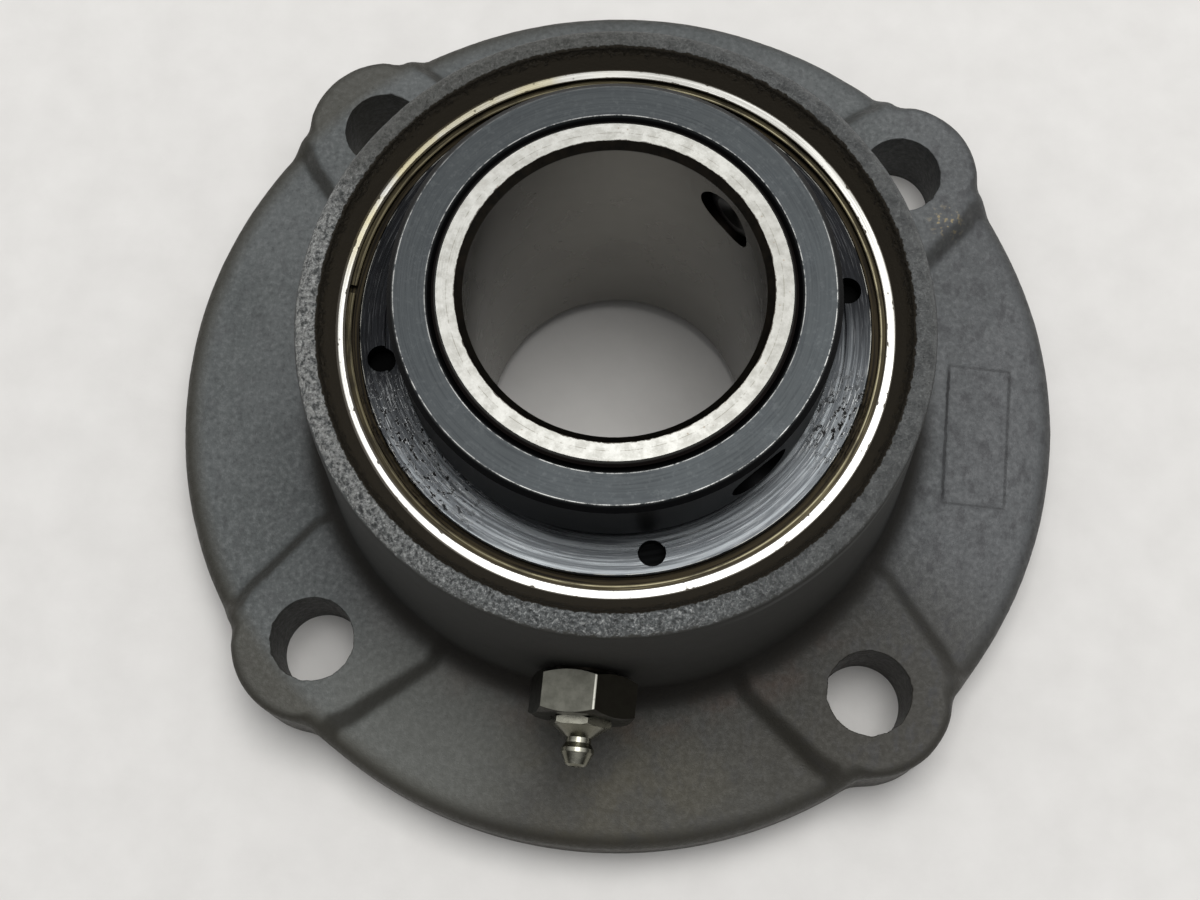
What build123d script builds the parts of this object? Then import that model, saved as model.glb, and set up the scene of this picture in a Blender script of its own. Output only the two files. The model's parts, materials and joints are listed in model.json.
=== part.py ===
from build123d import *
import math
import os

# Four-bolt round flange bearing unit: a one-piece cast housing, a double-row barrel
# roller bearing that swivels about its own centre, and a set-screw locking collar.
# Millimetres. Origin at the centre of the mounting face, +Z along the shaft towards the
# collar. The four lugs stand at 45, 135, 225 and 315 degrees; the grease fitting is at -Y.

# ---- shaft and inner ring ----
SHAFT_R = 27.78               # bore for a 2-3/16 inch shaft
INNER_BOTTOM = 4.8            # rear end of the inner ring
INNER_TOP = 87.7              # collar end of the inner ring
INNER_OUTER_R = 33.5          # cylindrical ends that carry the seals and the collar
INNER_RIB_R = 34.4            # lands either side of the roller tracks
INNER_RIB_HALF = 19.0         # half width of the lands
BORE_CHAMFER = 1.45
INNER_END_CHAMFER = 0.9

# ---- rolling elements ----
CENTRE_Z = 38.2               # centre of swivel and of the outer raceway sphere
RACE_R = 50.9                 # outer raceway sphere
RACE_GAP = 0.2                # internal clearance at each raceway
ROLLER_R = 8.2                # largest radius of a barrel roller
ROLLER_LENGTH = 14.0
ROLLER_COUNT = 13             # per row
CONTACT_ANGLE = 13.0          # degrees
ROLLER_REACH = RACE_R - RACE_GAP - ROLLER_R      # roller centre from the swivel centre
BARREL_R = RACE_R - RACE_GAP                     # profile radius of a barrel
ROLLER_CHAMFER = 0.6
TRACK_END_GAP = 0.25

# ---- cages and guide ring ----
CAGE_POCKET_GAP = 0.25
CAGE_INNER_R = 37.6
CAGE_OUTER_R = 44.4
CAGE_NEAR_Z = 6.4             # from the bearing centre to the finger tips
CAGE_FAR_Z = 20.6             # from the bearing centre to the outer face
GUIDE_INNER_R = 34.65
GUIDE_OUTER_R = 43.0
GUIDE_GAP = 0.3

# ---- outer ring ----
OUTER_RING_R = 55.56          # 4-3/8 inch outside diameter
OUTER_HALF = 30.0             # half width of the outer ring
SEAL_BORE_R = 51.85           # counterbore that takes a seal plate
SEAL_BORE_HALF = 24.9         # counterbore floor from the bearing centre
OUTER_RING_CHAMFER = 1.2
GREASE_GROOVE_WIDTH = 6.0
GREASE_GROOVE_DEPTH = 0.9
GREASE_HOLE_R = 1.6
GREASE_HOLE_COUNT = 3
GREASE_HOLE_START = 30.0      # degrees

# ---- seals and their retaining rings ----
PLATE_THICK = 3.0             # flange of a seal plate
PLATE_BOSS_R = 49.2
PLATE_BOSS_TOP = 29.7         # outer face of a seal plate from the bearing centre
PLATE_STEP_R = 44.3           # inside this the face is stepped down
PLATE_STEP_TOP = 28.4
PLATE_INNER_R = 38.2
PLATE_EDGE = 0.25
NOTCH_R = 2.65
NOTCH_WEB = 0.6               # metal left under a notch
NOTCH_CIRCLE_R = 45.2
NOTCH_COUNT = 4
NOTCH_START = 14.2            # degrees
CLIP_THICK = 1.2
CLIP_INNER_R = 50.7
CLIP_OUTER_R = 53.0
CLIP_GAP_AT = 177.0           # degrees, where a retaining ring is open
CLIP_GAP_WIDTH = 1.6
LIP_GAP = 0.05
LIP_THICK = 2.2
LIP_SLOPE = 1.6               # length of the lip's tapered part
LIP_FOOT_LOW = 0.66           # foot of the lip on the inner ring, from its mid height
LIP_FOOT_HIGH = 1.76

# ---- locking collar and set screws ----
COLLAR_BOTTOM = 69.2
COLLAR_TOP = 87.06
COLLAR_R = 41.7
COLLAR_EDGE = 1.2
COLLAR_BORE_CHAMFER = 1.1
SCREW_Z = 77.4
SCREW_ANGLES = {"a": 46.0, "b": -45.0}
SCREW_R = 6.35                # half-inch thread
SCREW_GAP = 0.05
SCREW_PASS_R = 6.5            # clearance hole through the inner ring
SCREW_TIP_R = 28.9            # radius of the cup point at rest
SCREW_LENGTH = 11.0
SCREW_KEY_AF = 6.35
SCREW_KEY_DEPTH = 5.5
SCREW_CUP_R = 3.6
SCREW_CUP_TIP_R = 0.4
SCREW_CUP_DEPTH = 1.2
SCREW_EDGE = 0.8

# ---- housing ----
FLANGE_R = 95.25              # 7-1/2 inch flange
FLANGE_EDGE_Z = 15.5          # flange top at the rim
FLANGE_HUB_Z = 17.5           # flange top where it meets the hub
FLANGE_EDGE_FILLET = 4.0
BOLT_CIRCLE_R = 82.55         # 6-1/2 inch bolt circle
BOLT_HOLE_R = 8.73            # 11/16 inch holes for 5/8 inch bolts
LUG_R = 17.4
PAD_ROOT_X = 55.2             # a pad starts inside the hub
PAD_ROOT_HALF = 21.0          # half width of a pad at its start
PAD_Z = 20.0
PAD_FILLET = 2.0
LUG_ANGLES = [45.0, 135.0, 225.0, 315.0]
HUB_TOP_Z = 72.1
HUB_TOP_R = 61.3
HUB_BASE_R = 64.0
HUB_EDGE_FILLET = 2.6
HUB_ROOT_FILLET = 4.5
HUB_OVERLAP = 2.0             # how far the root fillet reaches into the hub
LIP_R = 53.6                  # opening of the front lip that stops the outer ring
RIM_MOUTH_R = 56.4            # the opening flares to this at the rim
RECESS_R = 60.0               # relief in the mounting face
RECESS_DEPTH = 3.0
SNAP_THICK = 2.4              # large ring that holds the bearing in from the rear
SNAP_INNER_R = 52.4
SNAP_OUTER_R = 57.6
SNAP_GAP_AT = 90.0            # degrees
SNAP_GAP_WIDTH = 12.0
WINDOW_X = 78.4               # shallow cast window, left blank
WINDOW_WIDTH = 13.4
WINDOW_LENGTH = 31.0
WINDOW_DEPTH = 0.5

# ---- grease fitting ----
ADAPTER_THREAD_R = 6.6
ADAPTER_AF = 19.05
ADAPTER_BACK = 63.6           # distance of the hex's hub side from the shaft axis
ADAPTER_FRONT = 72.0
ADAPTER_TWIST = 15.0          # degrees from a flat on top
ADAPTER_TIP = 57.0
ADAPTER_BORE_R = 2.2
ADAPTER_EDGE = 0.9            # height of the 30 degree corners
NIPPLE_AF = 11.1
NIPPLE_HEX_END = 73.6
NIPPLE_TWIST = 15.0
NIPPLE_EDGE = 0.3
NIPPLE_CONE_R = 5.35
NIPPLE_CONE_END = 75.7
NIPPLE_NECK_R = 2.55
NIPPLE_NECK_END = 76.7
NIPPLE_HEAD_START = 77.8
NIPPLE_HEAD_R = 3.25
NIPPLE_HEAD_END = 78.6
NIPPLE_SHOULDER_R = 2.2       # end of the head's taper
NIPPLE_SHOULDER = 80.9
NIPPLE_END_R = 1.6
NIPPLE_END = 81.3
NIPPLE_THREAD_R = 4.8
NIPPLE_TIP = 66.0
NIPPLE_BORE_R = 1.35
NIPPLE_MOUTH_R = 0.75
NIPPLE_SEAT_START = 80.1      # the bore narrows from here to the mouth
NIPPLE_SEAT_END = 81.1
BALL_R = 1.2
BALL_GAP = 0.03
SPRING_R = 0.95
SPRING_WIRE_R = 0.16
SPRING_TURNS = 5
SPRING_END = 70.0

OVERSHOOT = 1.0               # how far a cut runs past a face


def ring(inner, outer, low, high):
    """A plain ring about the shaft axis."""
    with BuildPart() as part:
        with Locations((0, 0, low)):
            Cylinder(outer, high - low, align=(Align.CENTER, Align.CENTER, Align.MIN))
            if inner > 0:
                Cylinder(inner, high - low, align=(Align.CENTER, Align.CENTER, Align.MIN), mode=Mode.SUBTRACT)
    return part.part


def turned(points):
    """A solid turned about the shaft axis from (radius, height) corners."""
    face = make_face(Polyline(*[(r, 0, z) for r, z in points], close=True))
    return revolve(face, Axis.Z)


def around_y(points):
    """A solid turned about the grease fitting's axis from (radius, distance) corners."""
    face = make_face(Polyline(*[(r, -y, 0) for r, y in points], close=True))
    return Pos(0, 0, CENTRE_Z) * revolve(face, Axis.Y)


def facing(shape, side):
    """A shape made for the collar side of the bearing, or its mirror for the rear side."""
    if side > 0:
        return shape
    return mirror(shape, Plane.XY.offset(CENTRE_Z))


def open_ring(solid, angle, width):
    """Cut the gap of a retaining ring at the given angle."""
    gap = Box(2 * OUTER_RING_R, width, 2 * INNER_TOP, align=(Align.MIN, Align.CENTER, Align.CENTER))
    return solid - Rot(0, 0, angle) * gap


def barrel_outline(grow, end_grow):
    """Half profile of a barrel roller, x away from its own axis and z along it."""
    arc_centre = BARREL_R - ROLLER_R
    radius = BARREL_R + grow
    half = ROLLER_LENGTH / 2 + end_grow
    edge = math.sqrt(radius**2 - half**2) - arc_centre
    bulge = radius - arc_centre
    return half, edge, bulge


def roller_at_origin():
    """One barrel roller with its axis on Z."""
    half, edge, bulge = barrel_outline(0.0, 0.0)
    cut = ROLLER_CHAMFER
    line = (
        Line((0, 0, -half), (edge - cut, 0, -half))
        + Line((edge - cut, 0, -half), (edge, 0, -half + cut))
        + ThreePointArc((edge, 0, -half + cut), (bulge, 0, 0), (edge, 0, half - cut))
        + Line((edge, 0, half - cut), (edge - cut, 0, half))
        + Line((edge - cut, 0, half), (0, 0, half))
        + Line((0, 0, half), (0, 0, -half))
    )
    return revolve(make_face(line), Axis.Z)


def roller_place(angle):
    """Location of a roller of the collar-side row at an angle about the shaft."""
    tilt = math.radians(CONTACT_ANGLE)
    place = Pos(ROLLER_REACH * math.cos(tilt), 0, CENTRE_Z + ROLLER_REACH * math.sin(tilt))
    return Rot(0, 0, angle) * place * Rot(0, -CONTACT_ANGLE, 0)


def roller_angles(side):
    """The two rows are staggered by half a pitch."""
    pitch = 360.0 / ROLLER_COUNT
    return [pitch * (i + (0.0 if side > 0 else 0.5)) for i in range(ROLLER_COUNT)]


def rollers(side):
    one = roller_at_origin()
    row = [facing(roller_place(angle) * one, side) for angle in roller_angles(side)]
    return Compound(children=row)


def roller_track():
    """The groove that one row of rollers runs in, turned about the shaft."""
    half, edge, bulge = barrel_outline(RACE_GAP, TRACK_END_GAP)
    line = (
        Line((edge, 0, -half), (-edge, 0, -half))
        + ThreePointArc((-edge, 0, -half), (-bulge, 0, 0), (-edge, 0, half))
        + Line((-edge, 0, half), (edge, 0, half))
        + Line((edge, 0, half), (edge, 0, -half))
    )
    return revolve(roller_place(0) * make_face(line), Axis.Z)


def screw_hole(angle, radius, start, end):
    """A radial cylinder at the height of the set screws."""
    hole = Cylinder(radius, end - start, align=(Align.CENTER, Align.CENTER, Align.MIN))
    return Rot(0, 0, angle) * Pos(start, 0, SCREW_Z) * Rot(0, 90, 0) * hole


def inner_ring():
    c = BORE_CHAMFER
    e = INNER_END_CHAMFER
    body = turned([
        (SHAFT_R, INNER_BOTTOM + c),
        (SHAFT_R + c, INNER_BOTTOM),
        (INNER_OUTER_R - e, INNER_BOTTOM),
        (INNER_OUTER_R, INNER_BOTTOM + e),
        (INNER_OUTER_R, CENTRE_Z - INNER_RIB_HALF),
        (INNER_RIB_R, CENTRE_Z - INNER_RIB_HALF),
        (INNER_RIB_R, CENTRE_Z + INNER_RIB_HALF),
        (INNER_OUTER_R, CENTRE_Z + INNER_RIB_HALF),
        (INNER_OUTER_R, INNER_TOP - e),
        (INNER_OUTER_R - e, INNER_TOP),
        (SHAFT_R + c, INNER_TOP),
        (SHAFT_R, INNER_TOP - c),
    ])
    for side in (1, -1):
        body -= facing(roller_track(), side)
    for angle in SCREW_ANGLES.values():
        body -= screw_hole(angle, SCREW_PASS_R, SHAFT_R / 2, COLLAR_R)
    return body


def outer_ring():
    low = CENTRE_Z - OUTER_HALF
    high = CENTRE_Z + OUTER_HALF
    c = OUTER_RING_CHAMFER
    body = turned([
        (0, low),
        (OUTER_RING_R - c, low),
        (OUTER_RING_R, low + c),
        (OUTER_RING_R, CENTRE_Z - GREASE_GROOVE_WIDTH / 2),
        (OUTER_RING_R - GREASE_GROOVE_DEPTH, CENTRE_Z - GREASE_GROOVE_WIDTH / 2),
        (OUTER_RING_R - GREASE_GROOVE_DEPTH, CENTRE_Z + GREASE_GROOVE_WIDTH / 2),
        (OUTER_RING_R, CENTRE_Z + GREASE_GROOVE_WIDTH / 2),
        (OUTER_RING_R, high - c),
        (OUTER_RING_R - c, high),
        (0, high),
    ])
    body -= Pos(0, 0, CENTRE_Z) * Sphere(RACE_R)
    for side in (1, -1):
        body -= facing(ring(0, SEAL_BORE_R, CENTRE_Z + SEAL_BORE_HALF, high), side)
        clip_low = CENTRE_Z + SEAL_BORE_HALF + PLATE_THICK
        body -= facing(ring(0, CLIP_OUTER_R, clip_low, clip_low + CLIP_THICK), side)
    hole = Cylinder(GREASE_HOLE_R, OUTER_RING_R, align=(Align.CENTER, Align.CENTER, Align.MIN))
    hole = Pos(0, 0, CENTRE_Z) * Rot(0, 90, 0) * hole
    for i in range(GREASE_HOLE_COUNT):
        body -= Rot(0, 0, GREASE_HOLE_START + 360 / GREASE_HOLE_COUNT * i) * hole
    return body


def cage(side):
    """A ring outboard of the rollers with fingers that reach between them."""
    low = CENTRE_Z + CAGE_NEAR_Z
    high = CENTRE_Z + CAGE_FAR_Z
    body = ring(CAGE_INNER_R, CAGE_OUTER_R, low, high)
    half = ROLLER_LENGTH / 2 + TRACK_END_GAP
    pocket = Cylinder(ROLLER_R + CAGE_POCKET_GAP, 2 * half)
    for angle in roller_angles(1):
        body -= roller_place(angle) * pocket
    turn = 0.0 if side > 0 else 180.0 / ROLLER_COUNT
    return Rot(0, 0, turn) * facing(body, side)


def guide_ring():
    """The loose ring between the two rows, wider outwards to follow the roller ends."""
    tilt = math.radians(CONTACT_ANGLE)
    half = ROLLER_LENGTH / 2 + TRACK_END_GAP
    face_r = ROLLER_REACH * math.cos(tilt) + half * math.sin(tilt)
    face_z = ROLLER_REACH * math.sin(tilt) - half * math.cos(tilt)
    inner = face_z + (GUIDE_INNER_R - face_r) * math.tan(tilt) - GUIDE_GAP
    outer = face_z + (GUIDE_OUTER_R - face_r) * math.tan(tilt) - GUIDE_GAP
    return turned([
        (GUIDE_INNER_R, CENTRE_Z - inner),
        (GUIDE_OUTER_R, CENTRE_Z - outer),
        (GUIDE_OUTER_R, CENTRE_Z + outer),
        (GUIDE_INNER_R, CENTRE_Z + inner),
    ])


def seal_plate(side):
    """Stationary plate with a raised outer face and four round blind holes."""
    floor = CENTRE_Z + SEAL_BORE_HALF
    step = floor + PLATE_THICK
    top = CENTRE_Z + PLATE_BOSS_TOP
    inner_top = CENTRE_Z + PLATE_STEP_TOP
    body = turned([
        (PLATE_INNER_R, floor),
        (SEAL_BORE_R, floor),
        (SEAL_BORE_R, step),
        (PLATE_BOSS_R, step),
        (PLATE_BOSS_R, top - PLATE_EDGE),
        (PLATE_BOSS_R - PLATE_EDGE, top),
        (PLATE_STEP_R, top),
        (PLATE_STEP_R, inner_top),
        (PLATE_INNER_R, inner_top),
    ])
    for i in range(NOTCH_COUNT):
        place = Rot(0, 0, NOTCH_START + 360 / NOTCH_COUNT * i) * Pos(NOTCH_CIRCLE_R, 0, floor + NOTCH_WEB)
        body -= place * Cylinder(NOTCH_R, top - floor, align=(Align.CENTER, Align.CENTER, Align.MIN))
    return facing(body, side)


def retaining_ring(side):
    low = CENTRE_Z + SEAL_BORE_HALF + PLATE_THICK
    body = ring(CLIP_INNER_R, CLIP_OUTER_R, low, low + CLIP_THICK)
    return facing(open_ring(body, CLIP_GAP_AT, CLIP_GAP_WIDTH), side)


def seal_lip(side):
    """Rubber lip that bridges a seal plate and the inner ring."""
    mid = CENTRE_Z + (SEAL_BORE_HALF + PLATE_BOSS_TOP) / 2
    foot_r = INNER_OUTER_R + LIP_GAP
    body = turned([
        (PLATE_INNER_R, mid - LIP_THICK / 2),
        (PLATE_INNER_R, mid + LIP_THICK / 2),
        (foot_r + LIP_SLOPE, mid + LIP_THICK / 2),
        (foot_r, mid + LIP_FOOT_HIGH),
        (foot_r, mid + LIP_FOOT_LOW),
        (foot_r + LIP_SLOPE, mid - LIP_THICK / 2),
    ])
    return facing(body, side)


def lock_collar():
    e = COLLAR_EDGE
    c = COLLAR_BORE_CHAMFER
    body = turned([
        (INNER_OUTER_R, COLLAR_BOTTOM),
        (COLLAR_R - e, COLLAR_BOTTOM),
        (COLLAR_R, COLLAR_BOTTOM + e),
        (COLLAR_R, COLLAR_TOP - e),
        (COLLAR_R - e, COLLAR_TOP),
        (INNER_OUTER_R + c, COLLAR_TOP),
        (INNER_OUTER_R, COLLAR_TOP - c),
    ])
    for angle in SCREW_ANGLES.values():
        body -= screw_hole(angle, SCREW_R, SHAFT_R, COLLAR_R + OVERSHOOT)
    return body


def set_screw(angle):
    """Cup-point screw with a hexagon socket, its axis radial."""
    radius = SCREW_R - SCREW_GAP
    body = Cylinder(radius, SCREW_LENGTH, align=(Align.CENTER, Align.CENTER, Align.MIN))
    body = chamfer(body.edges().filter_by(GeomType.CIRCLE), SCREW_EDGE)
    cup = Cone(SCREW_CUP_R, SCREW_CUP_TIP_R, SCREW_CUP_DEPTH, align=(Align.CENTER, Align.CENTER, Align.MIN))
    key_radius = SCREW_KEY_AF / math.sqrt(3)
    socket = extrude(RegularPolygon(key_radius, 6), SCREW_KEY_DEPTH)
    body -= cup
    body -= Pos(0, 0, SCREW_LENGTH - SCREW_KEY_DEPTH) * socket
    return Rot(0, 0, angle) * Pos(SCREW_TIP_R, 0, SCREW_Z) * Rot(0, 90, 0) * body


def pad_outline():
    """Plan of one lug with its pad, which widens slightly as it runs in to the hub."""
    lug = Pos(BOLT_CIRCLE_R, 0) * Circle(LUG_R)
    run = make_face(Polyline(
        (PAD_ROOT_X, -PAD_ROOT_HALF),
        (BOLT_CIRCLE_R, -LUG_R),
        (BOLT_CIRCLE_R, LUG_R),
        (PAD_ROOT_X, PAD_ROOT_HALF),
        close=True,
    ))
    return lug + run


def housing_block():
    """Outside of the casting, before it is bored."""
    with BuildPart() as part:
        with BuildSketch(Plane.XZ) as profile:
            with BuildLine():
                Polyline(
                    (0, 0),
                    (FLANGE_R, 0),
                    (FLANGE_R, FLANGE_EDGE_Z),
                    (HUB_BASE_R, FLANGE_HUB_Z),
                    (0, FLANGE_HUB_Z),
                    close=True,
                )
            make_face()
        revolve(axis=Axis.Z)
        rims = part.edges().filter_by(GeomType.CIRCLE).group_by(lambda e: e.radius)[-1]
        fillet(rims.sort_by(Axis.Z)[-1], FLANGE_EDGE_FILLET)
    block = part.part
    for angle in LUG_ANGLES:
        pad = extrude(pad_outline(), PAD_Z)
        top = pad.faces().sort_by(Axis.Z)[-1]
        outer = [e for e in top.edges() if e.center().X > HUB_TOP_R]
        pad = fillet(outer, PAD_FILLET)
        block += Rot(0, 0, angle) * pad
    hub = turned([
        (0, 0),
        (HUB_BASE_R, 0),
        (HUB_BASE_R, FLANGE_HUB_Z),
        (HUB_TOP_R, HUB_TOP_Z),
        (0, HUB_TOP_Z),
    ])
    top_edge = hub.edges().filter_by(GeomType.CIRCLE).sort_by(Axis.Z)[-1]
    hub = fillet(top_edge, HUB_EDGE_FILLET)
    return block + hub + hub_root()


def hub_root():
    """The curved root between the hub and the flange, as a turned gusset."""
    f = HUB_ROOT_FILLET
    inside = HUB_BASE_R - HUB_OVERLAP
    low = FLANGE_EDGE_Z
    foot = HUB_BASE_R + f
    shoulder_z = FLANGE_HUB_Z + f
    shoulder = HUB_BASE_R - f * (HUB_BASE_R - HUB_TOP_R) / (HUB_TOP_Z - FLANGE_HUB_Z)
    belly = f * (1 - math.sqrt(0.5))
    line = (
        Line((inside, 0, low), (foot, 0, low))
        + Line((foot, 0, low), (foot, 0, FLANGE_HUB_Z))
        + ThreePointArc(
            (foot, 0, FLANGE_HUB_Z),
            (HUB_BASE_R + belly, 0, FLANGE_HUB_Z + belly),
            (shoulder, 0, shoulder_z),
        )
        + Line((shoulder, 0, shoulder_z), (inside, 0, shoulder_z))
        + Line((inside, 0, shoulder_z), (inside, 0, low))
    )
    return revolve(make_face(line), Axis.Z)


def housing():
    body = housing_block()
    ring_top = CENTRE_Z + OUTER_HALF
    ring_low = CENTRE_Z - OUTER_HALF
    body -= turned([
        (0, -OVERSHOOT),
        (RECESS_R, -OVERSHOOT),
        (RECESS_R, RECESS_DEPTH),
        (OUTER_RING_R, RECESS_DEPTH),
        (OUTER_RING_R, ring_low - SNAP_THICK),
        (SNAP_OUTER_R, ring_low - SNAP_THICK),
        (SNAP_OUTER_R, ring_low),
        (OUTER_RING_R, ring_low),
        (OUTER_RING_R, ring_top),
        (LIP_R, ring_top),
        (RIM_MOUTH_R, HUB_TOP_Z),
        (RIM_MOUTH_R, HUB_TOP_Z + OVERSHOOT),
        (0, HUB_TOP_Z + OVERSHOOT),
    ])
    for angle in LUG_ANGLES:
        body -= Rot(0, 0, angle) * Pos(BOLT_CIRCLE_R, 0, 0) * Cylinder(BOLT_HOLE_R, 3 * PAD_Z)
    body -= around_y([
        (0, SHAFT_R),
        (ADAPTER_THREAD_R, SHAFT_R),
        (ADAPTER_THREAD_R, HUB_BASE_R + OVERSHOOT),
        (0, HUB_BASE_R + OVERSHOOT),
    ])
    slope = (FLANGE_HUB_Z - FLANGE_EDGE_Z) / (FLANGE_R - HUB_BASE_R)
    floor_z = FLANGE_EDGE_Z + slope * (FLANGE_R - WINDOW_X) - WINDOW_DEPTH
    window = Box(WINDOW_WIDTH, WINDOW_LENGTH, PAD_Z, align=(Align.CENTER, Align.CENTER, Align.MIN))
    body -= Pos(WINDOW_X, 0, floor_z) * Rot(0, math.degrees(math.atan(slope)), 0) * window
    return body


def housing_snap_ring():
    low = CENTRE_Z - OUTER_HALF - SNAP_THICK
    body = ring(SNAP_INNER_R, SNAP_OUTER_R, low, low + SNAP_THICK)
    return open_ring(body, SNAP_GAP_AT, SNAP_GAP_WIDTH)


def hexagon(across_flats, start, end, twist, edge):
    """A hexagon bar along the grease fitting's axis with turned corners at both ends."""
    bar = extrude(RegularPolygon(across_flats / math.sqrt(3), 6), end - start)
    bar = Pos(0, -start, CENTRE_Z) * Rot(90, 0, 0) * Rot(0, 0, twist) * bar
    corner = across_flats / math.sqrt(3)
    cut_r = corner - edge * math.tan(math.radians(60))
    limit = around_y([
        (0, start),
        (cut_r, start),
        (corner, start + edge),
        (corner, end - edge),
        (cut_r, end),
        (0, end),
    ])
    return bar & limit


def grease_adapter():
    """Reducing bushing that screws into the hub and takes the nipple."""
    body = hexagon(ADAPTER_AF, ADAPTER_BACK, ADAPTER_FRONT, ADAPTER_TWIST, ADAPTER_EDGE)
    body += around_y([
        (0, ADAPTER_TIP),
        (ADAPTER_THREAD_R, ADAPTER_TIP),
        (ADAPTER_THREAD_R, ADAPTER_BACK),
        (0, ADAPTER_BACK),
    ])
    body -= around_y([
        (0, ADAPTER_TIP - OVERSHOOT),
        (ADAPTER_BORE_R, ADAPTER_TIP - OVERSHOOT),
        (ADAPTER_BORE_R, NIPPLE_TIP),
        (NIPPLE_THREAD_R, NIPPLE_TIP),
        (NIPPLE_THREAD_R, ADAPTER_FRONT + OVERSHOOT),
        (0, ADAPTER_FRONT + OVERSHOOT),
    ])
    return body


def grease_nipple():
    """Straight grease nipple with a hexagon, a waist and a tapered head."""
    body = hexagon(NIPPLE_AF, ADAPTER_FRONT, NIPPLE_HEX_END, NIPPLE_TWIST, NIPPLE_EDGE)
    body += around_y([
        (0, NIPPLE_TIP),
        (NIPPLE_THREAD_R, NIPPLE_TIP),
        (NIPPLE_THREAD_R, NIPPLE_HEX_END),
        (NIPPLE_CONE_R, NIPPLE_HEX_END),
        (NIPPLE_NECK_R, NIPPLE_CONE_END),
        (NIPPLE_NECK_R, NIPPLE_NECK_END),
        (NIPPLE_HEAD_R, NIPPLE_HEAD_START),
        (NIPPLE_HEAD_R, NIPPLE_HEAD_END),
        (NIPPLE_SHOULDER_R, NIPPLE_SHOULDER),
        (NIPPLE_END_R, NIPPLE_END),
        (0, NIPPLE_END),
    ])
    body -= around_y([
        (0, NIPPLE_TIP - OVERSHOOT),
        (NIPPLE_BORE_R, NIPPLE_TIP - OVERSHOOT),
        (NIPPLE_BORE_R, NIPPLE_SEAT_START),
        (NIPPLE_MOUTH_R, NIPPLE_SEAT_END),
        (NIPPLE_MOUTH_R, NIPPLE_END + OVERSHOOT),
        (0, NIPPLE_END + OVERSHOOT),
    ])
    return body


def ball_centre():
    """Distance of the ball's centre when it rests a hair behind its conical seat."""
    rise = math.atan2(NIPPLE_BORE_R - NIPPLE_MOUTH_R, NIPPLE_SEAT_END - NIPPLE_SEAT_START)
    clear = BALL_R + BALL_GAP - NIPPLE_BORE_R * math.cos(rise)
    return NIPPLE_SEAT_START - clear / math.sin(rise)


def nipple_ball():
    return Pos(0, -ball_centre(), CENTRE_Z) * Sphere(BALL_R)


def nipple_spring():
    """Coil that holds the ball against its seat."""
    start = ball_centre() - BALL_R - SPRING_WIRE_R - BALL_GAP
    length = start - SPRING_END
    path = Helix(pitch=length / SPRING_TURNS, height=length, radius=SPRING_R)
    section = Plane(path @ 0, z_dir=path % 0) * Circle(SPRING_WIRE_R)
    coil = sweep(section, path=path, is_frenet=True)
    return Pos(0, -SPRING_END, CENTRE_Z) * Rot(90, 0, 0) * coil


def main():
    os.makedirs("parts", exist_ok=True)
    nodes = {
        "housing": housing(),
        "housing_snap_ring": housing_snap_ring(),
        "outer_ring": outer_ring(),
        "inner_ring": inner_ring(),
        "rollers_front": rollers(1),
        "rollers_rear": rollers(-1),
        "cage_front": cage(1),
        "cage_rear": cage(-1),
        "guide_ring": guide_ring(),
        "seal_plate_front": seal_plate(1),
        "seal_plate_rear": seal_plate(-1),
        "seal_lip_front": seal_lip(1),
        "seal_lip_rear": seal_lip(-1),
        "retaining_ring_front": retaining_ring(1),
        "retaining_ring_rear": retaining_ring(-1),
        "lock_collar": lock_collar(),
        "grease_adapter": grease_adapter(),
        "grease_nipple": grease_nipple(),
        "nipple_ball": nipple_ball(),
        "nipple_spring": nipple_spring(),
    }
    for name, angle in SCREW_ANGLES.items():
        nodes["set_screw_" + name] = set_screw(angle)
    for name, shape in nodes.items():
        export_step(shape, "parts/" + name + ".step")


main()
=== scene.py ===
import json
import math

import bmesh
import bpy
import numpy as np
from mathutils import Matrix, Vector, noise


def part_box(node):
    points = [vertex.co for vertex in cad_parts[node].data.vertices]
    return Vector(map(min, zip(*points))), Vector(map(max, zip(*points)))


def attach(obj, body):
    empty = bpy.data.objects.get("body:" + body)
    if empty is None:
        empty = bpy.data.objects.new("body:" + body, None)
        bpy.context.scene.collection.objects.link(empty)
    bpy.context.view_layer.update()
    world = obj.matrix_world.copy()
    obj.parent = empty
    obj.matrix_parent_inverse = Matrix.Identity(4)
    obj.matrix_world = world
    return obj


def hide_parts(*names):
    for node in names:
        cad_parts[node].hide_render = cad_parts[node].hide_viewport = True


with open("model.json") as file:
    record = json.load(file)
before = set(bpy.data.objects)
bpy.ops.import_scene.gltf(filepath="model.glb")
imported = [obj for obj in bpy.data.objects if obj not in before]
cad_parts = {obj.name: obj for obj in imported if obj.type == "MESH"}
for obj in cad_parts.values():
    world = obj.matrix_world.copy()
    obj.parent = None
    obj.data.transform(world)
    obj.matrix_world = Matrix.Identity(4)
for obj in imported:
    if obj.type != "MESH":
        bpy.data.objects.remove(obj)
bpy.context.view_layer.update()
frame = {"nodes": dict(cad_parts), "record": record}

# A round four-bolt flange bearing lying on its mounting face. Metres, +Z along the shaft
# towards the locking collar. The cast housing is a new mesh. Every other piece keeps its
# CAD shape and gets a procedural material laid out from its own dimensions.

MM = 0.001


# ---------------------------------------------------------------- sizes read from the frame

def high(node, axis):
    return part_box(node)[1][axis]


def low(node, axis):
    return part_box(node)[0][axis]


def mount_size(name, key):
    """A length of one of the record's mounts."""
    mount = next(m for m in frame["record"]["mounts"] if m["name"] == name)
    return mount["dims"][key] * MM


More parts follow.
